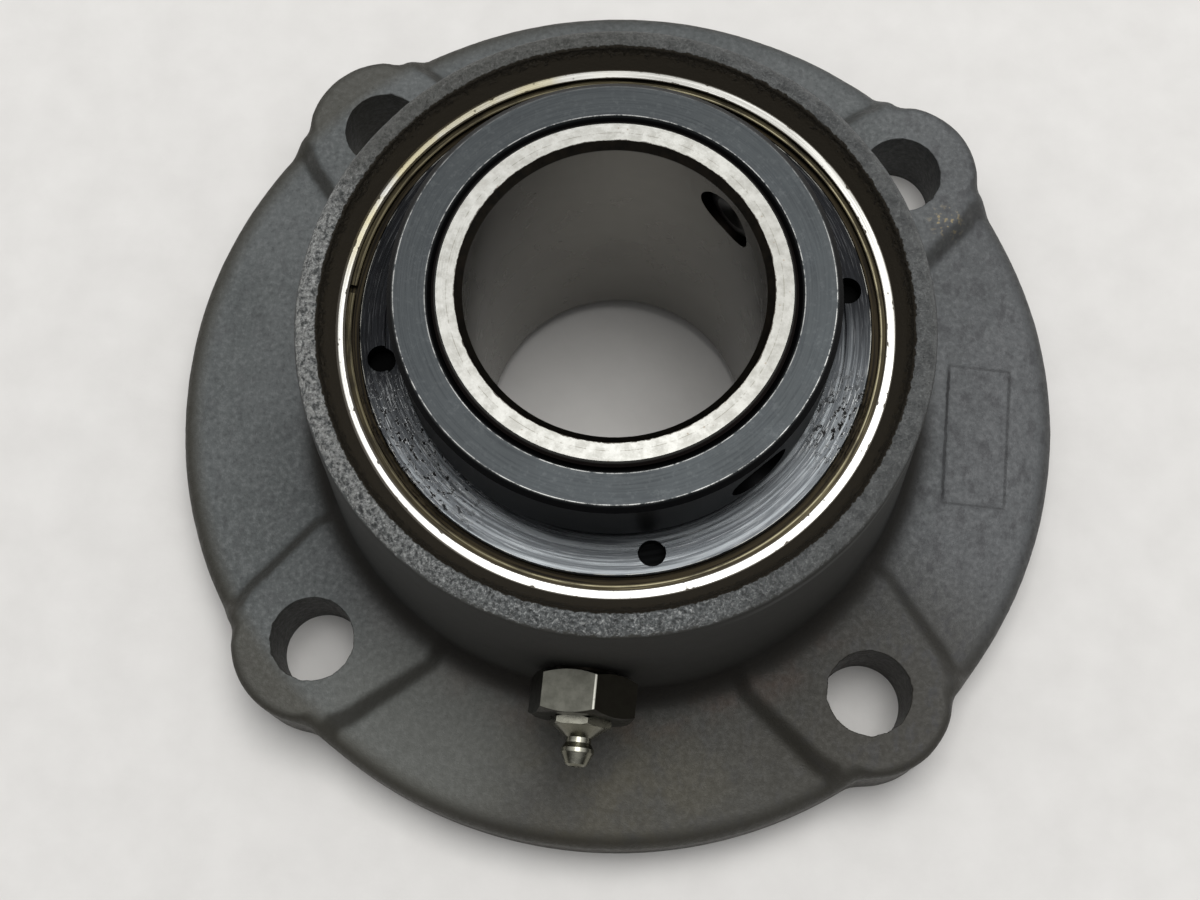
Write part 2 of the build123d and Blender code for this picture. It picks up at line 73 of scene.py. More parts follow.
FLANGE_R = high("housing", 0)
HUB_TOP = high("housing", 2)
BEARING_R = high("outer_ring", 0)
BEARING_TOP = high("outer_ring", 2)
BEARING_LOW = low("outer_ring", 2)
CENTRE_Z = (BEARING_TOP + BEARING_LOW) / 2
SHAFT_R = mount_size("shaft_bore", "r_mm")
BOLT_CIRCLE_R = mount_size("flange_bolts", "pcd_mm") / 2
BOLT_HOLE_R = mount_size("flange_bolts", "hole_r_mm")
COLLAR_R = high("lock_collar", 0)
COLLAR_TOP = high("lock_collar", 2)
RING_TOP = high("inner_ring", 2)
PLATE_TOP = high("seal_plate_front", 2)
SNAP_R = high("housing_snap_ring", 0)
SNAP_LOW = low("housing_snap_ring", 2)
SNAP_HIGH = high("housing_snap_ring", 2)

# ---------------------------------------------------------------- the casting's dimensions

LUG_ANGLES = [math.radians(a) for a in (45, 135, 225, 315)]
LUG_R = 17.4 * MM
LUG_SPREAD = 0.5               # a lug is looked for this far round from its bolt, in radians
PAD_TOP = 20.0 * MM
PAD_HALF_OUT = 16.6 * MM       # half width of a pad's top at the bolt circle
PAD_HALF_IN = 19.0 * MM        # and where it meets the hub
PAD_ROUND = 0.8 * MM           # a pad starts to fall this far inside its outline
PAD_SIDE = 4.3 * MM            # width of a pad's side, from top to flange
FLANGE_EDGE_Z = 15.5 * MM
FLANGE_HUB_Z = 17.5 * MM
FLANGE_FILLET = 4.2 * MM
LUG_FILLET = 2.2 * MM
LUG_BLEND = 2.0 * MM           # the edge's fillet changes over this much of a lug's reach
OUTLINE_SOFT = 1.6 * MM
HUB_BASE_R = 64.0 * MM
HUB_TOP_R = 61.3 * MM
HUB_EDGE_FILLET = 2.8 * MM
HUB_ROOT_FILLET = 5.5 * MM
LIP_R = 53.6 * MM
MOUTH_R = 56.4 * MM
MOUTH_FILLET = 0.5 * MM
MOUTH_ROWS = 5                 # rows of the mesh in the mouth's fillet
RECESS_R = 60.0 * MM
RECESS_DEPTH = 3.0 * MM
RECESS_STEP = 0.3 * MM         # a row that keeps the recess's corner sharp
WINDOW_X = 78.4 * MM
WINDOW_HALF_X = 6.7 * MM
WINDOW_HALF_Y = 15.5 * MM
WINDOW_DEPTH = 0.45 * MM
WINDOW_BORDER = 0.8 * MM
FOOT_EDGE = 0.7 * MM
FOOT_LAND = 2.0 * MM           # the machined foot starts this far inside the outline
CALM_BELOW = 0.5 * MM          # the cast skin's unevenness fades out near the foot,
CALM_OVER = 2.0 * MM           # from the first height over the second
CALM_MOUTH = 0.2               # share of the unevenness left on the mouth's fillet
COLUMNS = 600
SHARP_ANGLE = 40               # degrees

BROKEN_EDGE = 0.25 * MM        # the bolt holes' broken upper edge
CHIP_DEPTH = 0.35 * MM
DRILL_BELOW = -2.0 * MM
DRILL_ABOVE = 4.0 * MM
DRILL_SIDES = 192
GREASE_DRILL_R = 6.6 * MM
GREASE_DRILL_Y = (50.0 * MM, 70.0 * MM)
GREASE_DRILL_SIDES = 64

CAST, BORED, DRILLED = 0, 1, 2     # material slots of the housing

# ---------------------------------------------------------------- lines that the looks follow

FACE_OUTER_R = (53.25 * MM, 53.5 * MM)     # the outer ring's bright face ends between these
FACE_INNER_R = (52.1 * MM, 51.95 * MM)
CLIP_LINE_R = 51.0 * MM                    # a painted highlight line on a retaining ring
PLATE_STEP_R = (48.9 * MM, 49.1 * MM)      # the step at the seal plate's border
PLATE_STEP_LINE_R = 48.95 * MM
COLLAR_EDGE = 1.2 * MM                     # the collar's outer chamfer
COLLAR_INNER_R = 34.65 * MM
RING_SIDE_R = (32.6 * MM, 32.9 * MM)       # the inner ring's outer side
LATHE_LINE_R = 30.7 * MM                   # a faint turned line on the inner ring's face
ADAPTER_CORNER_X = 2.55 * MM               # the adapter's upper corner, which gets a painted highlight
ADAPTER_CORNER_R = (9.0 * MM, 9.4 * MM)
THREAD_R = (7.4 * MM, 6.9 * MM)            # the adapter's thread at the hub's wall, where shade is painted
THREAD_Y = (-63.9 * MM, -63.5 * MM)

SHADED_PAD = (56 * MM, -54 * MM)           # places in the plan
PALE_PAD = (-36 * MM, -76 * MM)
OLIVE_STAIN = (8 * MM, -82 * MM)
GOLD_STAIN = (69 * MM, 48 * MM)
WALL_STEP = (48 * MM, -38 * MM)
LEFT_PATCH = (-36 * MM, -31 * MM)
RIGHT_PATCH = (46 * MM, -16 * MM)

# ---------------------------------------------------------------- the picture's set-up

CAMERA_AT = (0.0131, -0.1185, 0.4034)
CAMERA_TURN = (15.69, 0.72, 5.68)          # degrees about X, Y and Z
SENSOR_MM = 36.0
LENS_MM = 55.6
NEAREST = 0.01
LAMP_AT = (0.10, 0.27, 1.36)
LAMP_SIDE = 0.75
LAMP_WATTS = 10.2
LAMP_COLOUR = (1.0, 0.995, 0.98)
SKY_STRENGTH = 1.15
FLOOR_SIDE = 24.0


# ---------------------------------------------------------------- shader building blocks

class Graph:
    """A short way to write shader nodes. Any value may be a number or another node's output."""

    def __init__(self, tree):
        self.tree = tree

    @classmethod
    def of_material(cls, name):
        """A new material, with the part's own coordinates in metres at hand."""
        material = bpy.data.materials.new(name)
        material.use_nodes = True
        g = cls(material.node_tree)
        g.material = material
        g.coords = g.add("ShaderNodeTexCoord").outputs["Object"]
        g.x, g.y, g.z = g.split(g.coords)
        g.r = g.length(g.x, g.y)
        return g

    def add(self, kind, **settings):
        node = self.tree.nodes.new(kind)
        for key, value in settings.items():
            setattr(node, key, value)
        return node

    def link(self, value, socket):
        if isinstance(value, bpy.types.NodeSocket):
            self.tree.links.new(value, socket)
        elif isinstance(value, (tuple, list)) and socket.type == "RGBA":
            socket.default_value = (*value, 1.0)
        else:
            socket.default_value = value

    def split(self, vector):
        node = self.add("ShaderNodeSeparateXYZ")
        self.link(vector, node.inputs[0])
        return node.outputs[0], node.outputs[1], node.outputs[2]

    def join(self, x, y, z):
        node = self.add("ShaderNodeCombineXYZ")
        for value, socket in zip((x, y, z), node.inputs):
            self.link(value, socket)
        return node.outputs[0]

    def math(self, operation, *values):
        node = self.add("ShaderNodeMath", operation=operation)
        for value, socket in zip(values, node.inputs):
            self.link(value, socket)
        return node.outputs[0]

    def plus(self, a, b):
        return self.math("ADD", a, b)

    def minus(self, a, b):
        return self.math("SUBTRACT", a, b)

    def times(self, first, *others):
        for other in others:
            first = self.math("MULTIPLY", first, other)
        return first

    def larger(self, a, b):
        return self.math("MAXIMUM", a, b)

    def size(self, a):
        return self.math("ABSOLUTE", a)

    def length(self, a, b):
        """Length of the vector (a, b)."""
        return self.math("SQRT", self.plus(self.times(a, a), self.times(b, b)))

    def upward(self):
        """The Z part of the surface's direction: 1 on a level top, 0 on a wall."""
        return self.split(self.add("ShaderNodeNewGeometry").outputs["Normal"])[2]

    def near(self, point, reach, soft):
        """1 within reach of a point of the plan, fading to 0 over soft."""
        away = self.length(self.minus(self.x, point[0]), self.minus(self.y, point[1]))
        return self.between(away, reach, reach + soft, 1.0, 0.0)

    def noise(self, scale, detail=4.0, roughness=0.55, distortion=0.0, at=None):
        """Noise over the part's coordinates, or over others given as at."""
        node = self.add("ShaderNodeTexNoise")
        self.link(self.coords if at is None else at, node.inputs["Vector"])
        self.link(scale, node.inputs["Scale"])
        self.link(detail, node.inputs["Detail"])
        self.link(roughness, node.inputs["Roughness"])
        self.link(distortion, node.inputs["Distortion"])
        return node.outputs["Fac"]

    def stretched(self, sx, sy, sz, **settings):
        """Noise with a scale of its own along each axis."""
        at = self.join(self.times(self.x, sx), self.times(self.y, sy), self.times(self.z, sz))
        return self.noise(1.0, at=at, **settings)

    def turned(self, along, across, **settings):
        """Noise as turning leaves it: slow round the shaft, quick across it."""
        cx = self.times(self.math("DIVIDE", self.x, self.r), along)
        cy = self.times(self.math("DIVIDE", self.y, self.r), along)
        cz = self.plus(self.times(self.r, across), self.times(self.z, across))
        return self.noise(1.0, at=self.join(cx, cy, cz), **settings)

    def cells(self, scale):
        """Distance from the nearest of many scattered points."""
        node = self.add("ShaderNodeTexVoronoi", feature="F1")
        self.link(self.coords, node.inputs["Vector"])
        self.link(scale, node.inputs["Scale"])
        return node.outputs["Distance"]

    def ramp(self, value, stops):
        node = self.add("ShaderNodeValToRGB")
        self.link(value, node.inputs[0])
        elements = node.color_ramp.elements
        while len(elements) < len(stops):
            elements.new(0.5)
        for element, (place, colour) in zip(elements, stops):
            element.position = place
            element.color = (*colour, 1.0)
        return node.outputs[0]

    def between(self, value, start, end, low_value=0.0, high_value=1.0):
        """Maps start..end smoothly to low..high, held at both ends."""
        node = self.add("ShaderNodeMapRange", interpolation_type="SMOOTHSTEP")
        self.link(value, node.inputs["Value"])
        self.link(start, node.inputs["From Min"])
        self.link(end, node.inputs["From Max"])
        self.link(low_value, node.inputs["To Min"])
        self.link(high_value, node.inputs["To Max"])
        return node.outputs["Result"]

    def wobble(self, value, reach):
        """Turns a noise into a ragged shift of up to reach either way."""
        return self.between(value, 0.3, 0.7, -reach, reach)

    def band(self, value, centre, half, soft):
        """1 within half of centre, fading to 0 over soft."""
        away = self.size(self.minus(value, centre))
        return self.between(away, half, half + soft, 1.0, 0.0)

    def mix(self, factor, a, b):
        """Mixes two colours."""
        node = self.add("ShaderNodeMix", data_type="RGBA")
        self.link(factor, node.inputs[0])
        self.link(a, node.inputs[6])
        self.link(b, node.inputs[7])
        return node.outputs[2]

    def blend(self, factor, a, b):
        """Mixes two numbers."""
        node = self.add("ShaderNodeMix", data_type="FLOAT")
        self.link(factor, node.inputs[0])
        self.link(a, node.inputs[2])
        self.link(b, node.inputs[3])
        return node.outputs[0]

    def bump(self, value, strength, distance, normal=None):
        node = self.add("ShaderNodeBump")
        self.link(value, node.inputs["Height"])
        self.link(strength, node.inputs["Strength"])
        self.link(distance, node.inputs["Distance"])
        if normal is not None:
            self.link(normal, node.inputs["Normal"])
        return node.outputs[0]

    def surface(self, colour, roughness, metallic=0.0, bump=None, specular=None):
        shader = self.tree.nodes["Principled BSDF"]
        self.link(colour, shader.inputs["Base Color"])
        self.link(roughness, shader.inputs["Roughness"])
        self.link(metallic, shader.inputs["Metallic"])
        if bump is not None:
            self.link(bump, shader.inputs["Normal"])
        if specular is not None:
            shader.inputs["Specular IOR Level"].default_value = specular
        return self.material


# ---------------------------------------------------------------- camera, light and floor

def add_camera():
    camera = bpy.data.objects.new("camera", bpy.data.cameras.new("camera"))
    bpy.context.scene.collection.objects.link(camera)
    camera.location = CAMERA_AT
    camera.rotation_euler = [math.radians(a) for a in CAMERA_TURN]
    camera.data.sensor_width = SENSOR_MM
    camera.data.lens = LENS_MM
    camera.data.clip_start = NEAREST
    bpy.context.scene.camera = camera


def add_sky():
    """A broad soft ceiling: bright overhead, dim at the horizon and behind the camera."""
    bpy.context.scene.view_settings.view_transform = "Standard"
    world = bpy.data.worlds.new("studio")
    bpy.context.scene.world = world
    world.use_nodes = True
    g = Graph(world.node_tree)
    _, y, z = g.split(g.add("ShaderNodeTexCoord").outputs["Generated"])
    glow = g.ramp(z, [
        (0.00, (0.08, 0.078, 0.075)),
        (0.40, (0.28, 0.28, 0.28)),
        (0.64, (0.52, 0.525, 0.53)),
        (0.84, (0.74, 0.745, 0.75)),
        (0.98, (0.92, 0.925, 0.93)),
    ])
    far_side = g.between(g.plus(y, g.times(z, 0.6)), -0.7, 0.5, 0.25, 1.0)
    background = world.node_tree.nodes["Background"]
    g.link(g.mix(far_side, (0.02, 0.02, 0.02), glow), background.inputs["Color"])
    background.inputs["Strength"].default_value = SKY_STRENGTH


def add_lamp():
    data = bpy.data.lights.new("ceiling_lamp", "AREA")
    data.shape = "RECTANGLE"
    data.size = LAMP_SIDE
    data.size_y = LAMP_SIDE
    data.energy = LAMP_WATTS
    data.color = LAMP_COLOUR
    lamp = bpy.data.objects.new("ceiling_lamp", data)
    bpy.context.scene.collection.objects.link(lamp)
    lamp.location = LAMP_AT
    aim = Vector((0.0, 0.0, CENTRE_Z)) - Vector(LAMP_AT)
    lamp.rotation_euler = aim.to_track_quat("-Z", "Y").to_euler()


def add_floor():
    bpy.ops.mesh.primitive_plane_add(size=FLOOR_SIDE, location=(0.0, 0.0, 0.0))
    floor = bpy.context.object
    floor.name = "floor"
    g = Graph.of_material("floor")
    grain = g.noise(90.0, detail=6.0)
    g.surface(
        colour=g.ramp(grain, [(0.3, (0.71, 0.695, 0.675)), (0.7, (0.76, 0.745, 0.725))]),
        roughness=0.85,
        bump=g.bump(g.noise(700.0, detail=3.0), 0.15, 0.2 * MM),
    )
    floor.data.materials.append(g.material)


# ---------------------------------------------------------------- materials

def cast_iron():
    """Dark grey sand casting: fine even grain on the flange, coarse grain on the rim made bright
    with painted light and glints.
    """
    g = Graph.of_material("cast_iron_dark")
    cloud = g.noise(38.0, detail=3.0)
    mottle = g.noise(900.0, roughness=0.65)
    sand = g.noise(2600.0, detail=3.0, roughness=0.6)
    grit = g.noise(820.0, detail=5.0, roughness=0.72)
    crisp = g.noise(1500.0, roughness=0.75)
    glint = g.times(g.between(g.noise(2000.0, detail=3.0), 0.54, 0.64),
                    g.between(grit, 0.45, 0.60))
    rim = g.between(g.plus(g.z, g.wobble(grit, 0.5 * MM)), HUB_TOP - 1.6 * MM, HUB_TOP - 0.9 * MM)
    wall = g.times(g.between(g.r, HUB_BASE_R + 4.0 * MM, HUB_BASE_R + 1.0 * MM),
                   g.between(g.z, HUB_TOP - 0.9 * MM, HUB_TOP - 2.2 * MM))
    flange = g.between(g.z, 27 * MM, 22 * MM)

    colour = g.mix(g.between(cloud, 0.35, 0.65), (0.083, 0.090, 0.090), (0.100, 0.107, 0.108))
    colour = g.mix(g.between(mottle, 0.48, 0.68, 0.0, 0.40), colour, (0.155, 0.162, 0.163))
    colour = g.mix(g.between(mottle, 0.46, 0.30, 0.0, 0.40), colour, (0.040, 0.042, 0.043))
    colour = flange_stains(g, colour, flange)
    # painted shade along the window's outline and in its crease
    outline = g.times(window_shade_line(g), flange, g.between(cloud, 0.40, 0.60, 0.45, 0.80))
    colour = g.mix(outline, colour, (0.025, 0.025, 0.026))
    colour = hub_wall(g, colour, wall, cloud)
    colour = g.mix(rim, colour, rim_colour(g, grit, crisp, glint))
    ragged_r = g.minus(g.r, g.between(grit, 0.3, 0.7, 0.0, 0.5 * MM))
    mouth = g.times(g.between(ragged_r, MOUTH_R + 0.45 * MM, MOUTH_R + 0.25 * MM),
                    g.between(g.z, 40 * MM, 50 * MM))
    colour = g.mix(mouth, colour, (0.020, 0.016, 0.010))

    grain = g.bump(sand, 0.55, 0.16 * MM)
    grain = g.bump(mottle, 0.45, 0.22 * MM, normal=grain)
    grain = g.bump(g.times(g.minus(grit, 0.5), rim), 1.0, 1.5 * MM, normal=grain)
    grain = g.bump(g.times(g.minus(crisp, 0.5), rim), 1.0, 0.4 * MM, normal=grain)
    rough = g.blend(rim, g.between(mottle, 0.35, 0.65, 0.62, 0.48),
                    g.between(glint, 0.0, 1.0, 0.52, 0.34))
    rough = g.blend(wall, rough, 0.8)
    metallic = g.between(wall, 0.0, 1.0, 0.20, 0.0)
    return g.surface(colour, rough, metallic=metallic, bump=grain, specular=0.25)


def flange_stains(g, colour, flange):
    """Lays painted shade (a warm darker near side, the shaded pad, darker sloping sides) and the
    pale, oily, rusty and blotted areas over the flange's plain colour.
    """
    right = g.between(g.x, 40 * MM, 80 * MM)
    colour = g.mix(g.times(right, 0.35), colour, (0.098, 0.096, 0.104))
    # painted shade: the near side is painted darker and warmer; the rust keeps to the same area
    shade_and_rust_area = g.times(g.between(g.y, -20 * MM, -75 * MM),
                   g.between(g.x, -60 * MM, -5 * MM, 0.10, 1.0))
    colour = g.mix(g.times(shade_and_rust_area, 0.80), colour, (0.050, 0.046, 0.037))
    shade = g.times(g.near(SHADED_PAD, 10 * MM, 26 * MM), 0.65)
    colour = g.mix(shade, colour, (0.036, 0.033, 0.027))
    stain = g.between(g.noise(70.0, roughness=0.6), 0.38, 0.64)
    olive = g.times(g.near(OLIVE_STAIN, 6 * MM, 30 * MM), stain, 0.35)
    colour = g.mix(olive, colour, (0.098, 0.086, 0.055))
    rust = g.times(g.band(g.r, HUB_BASE_R + 4 * MM, 1.5 * MM, 6.0 * MM), flange, shade_and_rust_area, stain, 0.45)
    colour = g.mix(rust, colour, (0.090, 0.046, 0.030))
    gold = g.times(g.near(GOLD_STAIN, 1.5 * MM, 3.5 * MM),
                   g.between(g.noise(900.0, detail=2.0), 0.56, 0.64), 0.45)
    colour = g.mix(gold, colour, (0.40, 0.30, 0.12))
    blot = g.stretched(330.0, 190.0, 190.0, detail=5.0, roughness=0.65)
    blots = g.times(g.between(blot, 0.50, 0.64), g.between(right, 0.0, 1.0, 0.22, 0.55))
    colour = g.mix(blots, colour, (0.050, 0.050, 0.053))
    pale = g.times(g.near(PALE_PAD, 10 * MM, 24 * MM), 0.6)
    colour = g.mix(pale, colour, (0.128, 0.131, 0.120))
    oily_edge = g.times(g.between(g.r, FLANGE_R - 6 * MM, FLANGE_R - 1.5 * MM),
                        g.between(g.x, 10 * MM, -60 * MM), 0.6)
    colour = g.mix(oily_edge, colour, (0.052, 0.046, 0.032))
    # painted shade: surfaces that don't face straight up are painted darker, most on the left
    sloped_side_shade = g.times(g.between(g.upward(), 0.99, 0.68), flange,
                    g.between(g.x, -10 * MM, 60 * MM, 0.62, 0.36))
    return g.mix(sloped_side_shade, colour, (0.027, 0.024, 0.018))


def window_shade_line(g):
    """Painted shade along the outline of the blank cast window: 1 on the outline, most of all in
    the crease at its hub side.
    """
    off_x = g.minus(g.size(g.minus(g.x, WINDOW_X)), WINDOW_HALF_X)
    off_y = g.minus(g.size(g.y), WINDOW_HALF_Y)
    border = g.band(g.larger(off_x, off_y), 0.0, 0.12 * MM, 0.30 * MM)
    ragged = g.wobble(g.noise(420.0), 0.15 * MM)
    hub_side = g.plus(g.minus(g.x, WINDOW_X - WINDOW_HALF_X), ragged)
    ends = g.between(g.size(g.y), WINDOW_HALF_Y, WINDOW_HALF_Y - 2.0 * MM)
    crease = g.times(g.band(hub_side, 0.0, 0.22 * MM, 0.25 * MM), ends)
    return g.larger(g.times(border, 0.45), crease)


def hub_wall(g, colour, wall, cloud):
    """Lays over colour the hub wall painted near-black as shade, a painted highlight on a faint
    step under the rim and the dark root, painted shade and dirt.
    """
    # painted shade: the hub wall is painted near-black
    colour = g.mix(g.times(wall, 0.80), colour, (0.013, 0.0125, 0.0105))
    # painted highlight: a lighter line for a faint step under the rim that the mesh doesn't have
    step_z = g.plus(g.z, g.wobble(cloud, 0.5 * MM))
    step_highlight = g.times(g.band(step_z, HUB_TOP - 4.3 * MM, 0.7 * MM, 0.7 * MM),
                   g.near(WALL_STEP, 16 * MM, 18 * MM), wall)
    colour = g.mix(g.times(step_highlight, 0.6), colour, (0.075, 0.075, 0.072))
    # the dark root: painted shade in the corner between hub and flange, and dirt
    root = g.times(g.band(g.r, HUB_BASE_R + 1.5 * MM, 1.0 * MM, 4.0 * MM),
                   g.between(g.z, 30 * MM, 22 * MM))
    return g.mix(g.times(root, 0.55), colour, (0.014, 0.0120, 0.010))


def rim_colour(g, grit, crisp, glint):
    """Coarse grain with painted light, painted glints and painted crease shade on the rim's near
    left, an even grey on its far and right sides.
    """
    lit = g.between(g.minus(g.times(g.y, 0.3), g.x), -10 * MM, 50 * MM)
    grainy = g.mix(g.between(grit, 0.34, 0.62), (0.070, 0.074, 0.074), (0.205, 0.218, 0.219))
    # painted light on the near left
    grainy = g.mix(g.times(lit, g.between(grit, 0.38, 0.58), 0.75), grainy, (0.400, 0.400, 0.385))
    # painted glints; the crisp grain painted as white glints and dark crease shade
    grainy = g.mix(g.times(glint, 0.85), grainy, (0.68, 0.69, 0.68))
    grainy = g.mix(g.between(crisp, 0.51, 0.63, 0.0, 0.6), grainy, (0.52, 0.53, 0.52))
    grainy = g.mix(g.between(crisp, 0.47, 0.38, 0.0, 0.6), grainy, (0.030, 0.030, 0.029))
    right_side = g.between(g.plus(g.x, g.times(g.y, 0.35)), -10 * MM, 35 * MM)
    far_side = g.between(g.plus(g.y, g.times(g.x, 0.3)), -8 * MM, 18 * MM)
    patches = g.between(g.noise(330.0, detail=5.0), 0.34, 0.66)
    even = g.mix(patches, (0.095, 0.098, 0.098), (0.165, 0.170, 0.168))
    far_left = g.times(far_side, g.between(g.x, 30 * MM, -20 * MM), 0.6)
    even = g.mix(far_left, even, (0.074, 0.072, 0.060))
    return g.mix(g.times(g.larger(right_side, far_side), 0.8), grainy, even)


def drilled_iron():
    """Drilled wall of a bolt hole, brown black with drill marks."""
    g = Graph.of_material("drilled_iron")
    marks = g.stretched(260.0, 260.0, 3200.0)
    stain = g.noise(160.0)
    colour = g.mix(g.between(stain, 0.35, 0.65), (0.010, 0.0050, 0.0040), (0.030, 0.017, 0.013))
    return g.surface(colour, g.between(marks, 0.3, 0.7, 0.45, 0.62),
                     bump=g.bump(marks, 0.5, 0.12 * MM), specular=0.0)


def machined_housing():
    """Oily bored surface inside the hub, near black with brown stains."""
    g = Graph.of_material("bored_iron_oily")
    stain = g.noise(75.0, detail=5.0, roughness=0.6)
    colour = g.ramp(stain, [
        (0.30, (0.022, 0.017, 0.010)),
        (0.48, (0.046, 0.037, 0.021)),
        (0.62, (0.026, 0.020, 0.016)),
        (0.80, (0.060, 0.050, 0.028)),
    ])
    marks = g.turned(2.0, 2600.0, detail=3.0)
    rough = g.between(stain, 0.3, 0.7, 0.40, 0.55)
    return g.surface(colour, rough, metallic=0.1,
                     bump=g.bump(marks, 0.25, 0.08 * MM), specular=0.07)


def outer_ring_steel():
    """Ground end face, bright, with a golden stain on one side, painted shade towards its far side
    and along its edges, and small chips at its edges.
    """
    g = Graph.of_material("ground_ring_face")
    marks = g.turned(3.0, 4200.0, detail=3.0)
    colour = g.mix(g.between(marks, 0.3, 0.7), (0.50, 0.495, 0.475), (0.34, 0.335, 0.315))
    tinted_side = g.between(g.minus(g.y, g.x), 54 * MM, 69 * MM)
    tint = g.times(g.between(g.noise(60.0), 0.36, 0.56), tinted_side, 0.8)
    colour = g.mix(tint, colour, (0.36, 0.31, 0.15))
    # painted shade: the face darkens towards the far side
    colour = g.mix(g.between(g.y, -5 * MM, 45 * MM, 0.0, 0.55), colour, (0.125, 0.124, 0.115))
    ragged = g.between(g.noise(480.0, detail=3.0), 0.56, 0.80, 0.0, 0.45 * MM)
    narrowed = g.between(g.x, -15 * MM, -45 * MM, 0.0, 0.24 * MM)
    # painted shade along the face's outer and inner edges, wider on the left; ragged chips and
    # pits are real flaws
    outer_edge = g.between(g.plus(g.plus(g.r, ragged), narrowed), *FACE_OUTER_R)
    inner_edge = g.between(g.minus(g.minus(g.r, ragged), narrowed), *FACE_INNER_R)
    pits = g.between(g.cells(380.0), 0.12, 0.07)
    chips_and_edge_shade = g.larger(g.times(outer_edge, 0.95), g.times(pits, 0.6))
    chips_and_edge_shade = g.larger(chips_and_edge_shade, g.times(inner_edge, 0.95))
    colour = g.mix(chips_and_edge_shade, colour, (0.010, 0.0075, 0.004))
    outside = g.between(g.z, BEARING_TOP - 0.05 * MM, BEARING_TOP - 0.3 * MM)
    colour = g.mix(g.times(outside, 0.92), colour, (0.045, 0.038, 0.022))
    rough = g.between(marks, 0.3, 0.7, 0.30, 0.42)
    return g.surface(colour, rough, metallic=1.0, bump=g.bump(marks, 0.2, 0.05 * MM))


def inner_ring_steel():
    """Mottled ground end face with painted shade on its right, near-black bore chamfer, satin bore
    and screw holes painted dark as shade.
    """
    g = Graph.of_material("inner_ring_steel")
    marks = g.turned(3.0, 3600.0, detail=3.0)
    mottle = g.noise(420.0, detail=6.0, roughness=0.72)
    fine = g.noise(1500.0, detail=3.0, roughness=0.6)
    face = g.mix(g.between(mottle, 0.38, 0.64), (0.228, 0.227, 0.214), (0.188, 0.186, 0.172))
    face = g.mix(g.between(fine, 0.50, 0.70, 0.0, 0.35), face, (0.28, 0.279, 0.266))
    # painted shade: the face darkens towards the right
    face = g.mix(g.between(g.x, 12 * MM, 33 * MM, 0.0, 0.42), face, (0.085, 0.083, 0.076))
    lathe_line = g.times(g.band(g.r, LATHE_LINE_R, 0.03 * MM, 0.07 * MM),
                         g.between(mottle, 0.42, 0.56))
    face = g.mix(g.times(lathe_line, 0.6), face, (0.08, 0.075, 0.06))
    face = g.mix(g.between(g.cells(480.0), 0.12, 0.05, 0.0, 0.7), face, (0.12, 0.10, 0.08))

    brown = g.mix(g.between(mottle, 0.3, 0.7), (0.010, 0.008, 0.006), (0.034, 0.026, 0.018))
    ragged = g.wobble(mottle, 0.18 * MM)
    chamfer = g.between(g.plus(g.r, ragged), SHAFT_R + 1.62 * MM, SHAFT_R + 1.42 * MM)
    colour = g.mix(g.times(chamfer, 0.92), face, brown)

    bore_cloud = g.noise(60.0)
    bore = g.mix(g.between(bore_cloud, 0.3, 0.7), (0.170, 0.163, 0.146), (0.215, 0.208, 0.188))
    in_bore = g.between(g.r, SHAFT_R + 0.10 * MM, SHAFT_R + 0.02 * MM)
    colour = g.mix(in_bore, colour, bore)

    # painted shade: the walls of the set-screw holes below the face are painted dark
    below = g.between(g.z, RING_TOP - 1.2 * MM, RING_TOP - 1.7 * MM)
    in_wall = g.between(g.r, SHAFT_R + 0.05 * MM, SHAFT_R + 0.35 * MM)
    colour = g.mix(g.times(below, in_wall), colour, (0.022, 0.017, 0.014))
    outer_side = g.times(g.between(g.z, RING_TOP - 0.2 * MM, RING_TOP - 0.5 * MM),
                         g.between(g.r, *RING_SIDE_R))
    colour = g.mix(outer_side, colour, (0.04, 0.032, 0.03))

    rough = g.blend(in_bore, g.between(mottle, 0.3, 0.7, 0.34, 0.39),
                    g.between(bore_cloud, 0.3, 0.7, 0.24, 0.32))
    grain = g.bump(marks, 0.2, 0.05 * MM)
    grain = g.bump(g.times(mottle, g.minus(1.0, in_bore)), 0.12, 0.08 * MM, normal=grain)
    return g.surface(colour, rough, metallic=1.0, bump=grain)


def black_oxide_collar():
    """Slate black oxide, turned, with thin bright worn corners and a side painted near-black as
    shade.
    """
    g = Graph.of_material("black_oxide_collar")
    marks = g.turned(3.0, 2800.0)
    cloud = g.noise(120.0, detail=5.0)
    fine = g.noise(900.0, roughness=0.7)
    colour = g.mix(g.between(cloud, 0.35, 0.7), (0.029, 0.0325, 0.0345), (0.042, 0.0465, 0.049))
    colour = g.mix(g.between(marks, 0.4, 0.7, 0.0, 0.5), colour, (0.018, 0.0205, 0.023))
    colour = g.mix(g.between(fine, 0.50, 0.70, 0.0, 0.35), colour, (0.060, 0.065, 0.067))
    # painted shade: the collar's side is painted near-black
    side = g.between(g.z, COLLAR_TOP - 0.15 * MM, COLLAR_TOP - 0.45 * MM)
    colour = g.mix(side, colour, (0.0060, 0.0062, 0.0068))

    top = g.between(g.z, COLLAR_TOP - 0.30 * MM, COLLAR_TOP - 0.10 * MM)
    ragged = g.between(g.noise(520.0, roughness=0.7), 0.36, 0.56)
    outer_edge = g.band(g.r, COLLAR_R - COLLAR_EDGE - 0.02 * MM, 0.07 * MM, 0.12 * MM)
    inner_edge = g.band(g.r, COLLAR_INNER_R, 0.06 * MM, 0.10 * MM)
    near_side = g.between(g.y, 30 * MM, 5 * MM, 0.15, 1.0)
    bright_edge = g.times(g.larger(g.times(outer_edge, near_side), g.times(inner_edge, 0.7)), top, ragged)
    colour = g.mix(g.times(bright_edge, 0.70), colour, (0.36, 0.36, 0.35))
    rough = g.blend(side, g.between(cloud, 0.3, 0.7, 0.36, 0.48), 0.45)
    return g.surface(colour, rough, metallic=0.85,
                     bump=g.bump(marks, 0.3, 0.06 * MM), specular=0.3)


